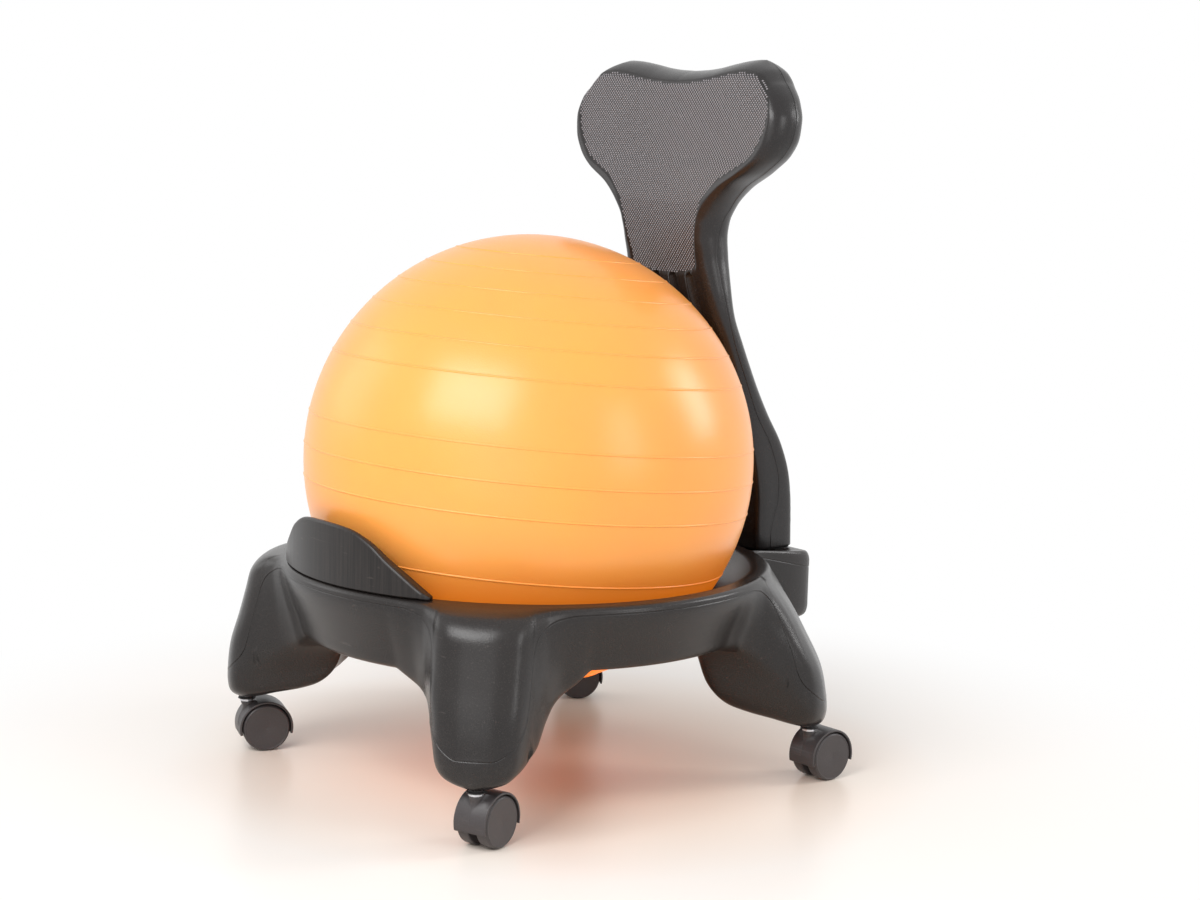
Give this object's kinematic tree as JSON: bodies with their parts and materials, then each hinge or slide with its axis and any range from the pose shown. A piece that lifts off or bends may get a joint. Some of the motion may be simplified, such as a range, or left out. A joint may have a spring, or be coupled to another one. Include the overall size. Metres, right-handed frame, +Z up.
{
  "type": "balance ball chair",
  "caption": "Office chair with an inflated ball for a seat, held in a moulded ring on four legs with swivelling twin-wheel casters, a winged backrest and a low stopper at the front.",
  "frame": {"origin": "on the floor, under the middle of the chair's box as seen from above", "axes": "+Z up; the sitter faces -Y; +X is to the right of someone who stands in front of the chair and looks at it"},
  "size_m": [0.568, 0.658, 0.8278],
  "materials": {
    "moulded_plastic": "fine grained satin, blow-moulded",
    "stopper_plastic": "satin",
    "caster_plastic": "satin",
    "ball_vinyl": "satin with fine grain",
    "plug_plastic": "smooth",
    "zinc": "bright zinc plate",
    "brass": "turned"
  },
  "bodies": {
    "base": {"base_frame": "moulded_plastic", "backrest": "moulded_plastic", "backrest_bolt_left": "zinc", "backrest_washer_left": "zinc", "backrest_insert_left": "brass", "backrest_bolt_right": "zinc", "backrest_washer_right": "zinc", "backrest_insert_right": "brass", "front_stopper": "stopper_plastic", "front_right_socket": "caster_plastic", "rear_right_socket": "caster_plastic", "rear_left_socket": "caster_plastic", "front_left_socket": "caster_plastic"},
    "ball": {"ball": "ball_vinyl"},
    "valve_plug": {"valve_plug": "plug_plastic"},
    "front_right_caster": {"front_right_stem": "zinc", "front_right_hood": "caster_plastic", "front_right_axle": "zinc"},
    "front_right_wheel_1": {"front_right_wheel_1": "caster_plastic"},
    "front_right_wheel_2": {"front_right_wheel_2": "caster_plastic"},
    "rear_right_caster": {"rear_right_stem": "zinc", "rear_right_hood": "caster_plastic", "rear_right_axle": "zinc"},
    "rear_right_wheel_1": {"rear_right_wheel_1": "caster_plastic"},
    "rear_right_wheel_2": {"rear_right_wheel_2": "caster_plastic"},
    "rear_left_caster": {"rear_left_stem": "zinc", "rear_left_hood": "caster_plastic", "rear_left_axle": "zinc"},
    "rear_left_wheel_1": {"rear_left_wheel_1": "caster_plastic"},
    "rear_left_wheel_2": {"rear_left_wheel_2": "caster_plastic"},
    "front_left_caster": {"front_left_stem": "zinc", "front_left_hood": "caster_plastic", "front_left_axle": "zinc"},
    "front_left_wheel_1": {"front_left_wheel_1": "caster_plastic"},
    "front_left_wheel_2": {"front_left_wheel_2": "caster_plastic"}
  },
  "joints": [
    {"name": "ball_lift", "type": "slide", "parent": "base", "child": "ball", "axis": [0, -0.3907, 0.9205], "range_m": [0, 0.02]},
    {"name": "valve_plug_pull", "type": "slide", "parent": "ball", "child": "valve_plug", "axis": [-0.9613, 0, 0.2756], "range_m": [0, 0.014]},
    {"name": "front_right_swivel", "type": "hinge", "parent": "base", "child": "front_right_caster", "pos_m": [0.23646, -0.28146, 0.06], "axis": [0, 0, 1], "continuous": true},
    {"name": "front_right_wheel_1_spin", "type": "hinge", "parent": "front_right_caster", "child": "front_right_wheel_1", "pos_m": [0.23016, -0.26195, 0.028], "axis": [-0.9516, -0.3074, 0], "continuous": true},
    {"name": "front_right_wheel_2_spin", "type": "hinge", "parent": "front_right_caster", "child": "front_right_wheel_2", "pos_m": [0.23016, -0.26195, 0.028], "axis": [-0.9516, -0.3074, 0], "continuous": true},
    {"name": "rear_right_swivel", "type": "hinge", "parent": "base", "child": "rear_right_caster", "pos_m": [0.23646, 0.19146, 0.06], "axis": [0, 0, 1], "continuous": true},
    {"name": "rear_right_wheel_1_spin", "type": "hinge", "parent": "rear_right_caster", "child": "rear_right_wheel_1", "pos_m": [0.23624, 0.21196, 0.028], "axis": [-0.9999, -0.0105, 0], "continuous": true},
    {"name": "rear_right_wheel_2_spin", "type": "hinge", "parent": "rear_right_caster", "child": "rear_right_wheel_2", "pos_m": [0.23624, 0.21196, 0.028], "axis": [-0.9999, -0.0105, 0], "continuous": true},
    {"name": "rear_left_swivel", "type": "hinge", "parent": "base", "child": "rear_left_caster", "pos_m": [-0.23646, 0.19146, 0.06], "axis": [0, 0, 1], "continuous": true},
    {"name": "rear_left_wheel_1_spin", "type": "hinge", "parent": "rear_left_caster", "child": "rear_left_wheel_1", "pos_m": [-0.22571, 0.20892, 0.028], "axis": [-0.8517, 0.524, 0], "continuous": true},
    {"name": "rear_left_wheel_2_spin", "type": "hinge", "parent": "rear_left_caster", "child": "rear_left_wheel_2", "pos_m": [-0.22571, 0.20892, 0.028], "axis": [-0.8517, 0.524, 0], "continuous": true},
    {"name": "front_left_swivel", "type": "hinge", "parent": "base", "child": "front_left_caster", "pos_m": [-0.23646, -0.28146, 0.06], "axis": [0, 0, 1], "continuous": true},
    {"name": "front_left_wheel_1_spin", "type": "hinge", "parent": "front_left_caster", "child": "front_left_wheel_1", "pos_m": [-0.22934, -0.26223, 0.028], "axis": [-0.9379, 0.3469, 0], "continuous": true},
    {"name": "front_left_wheel_2_spin", "type": "hinge", "parent": "front_left_caster", "child": "front_left_wheel_2", "pos_m": [-0.22934, -0.26223, 0.028], "axis": [-0.9379, 0.3469, 0], "continuous": true}
  ]
}
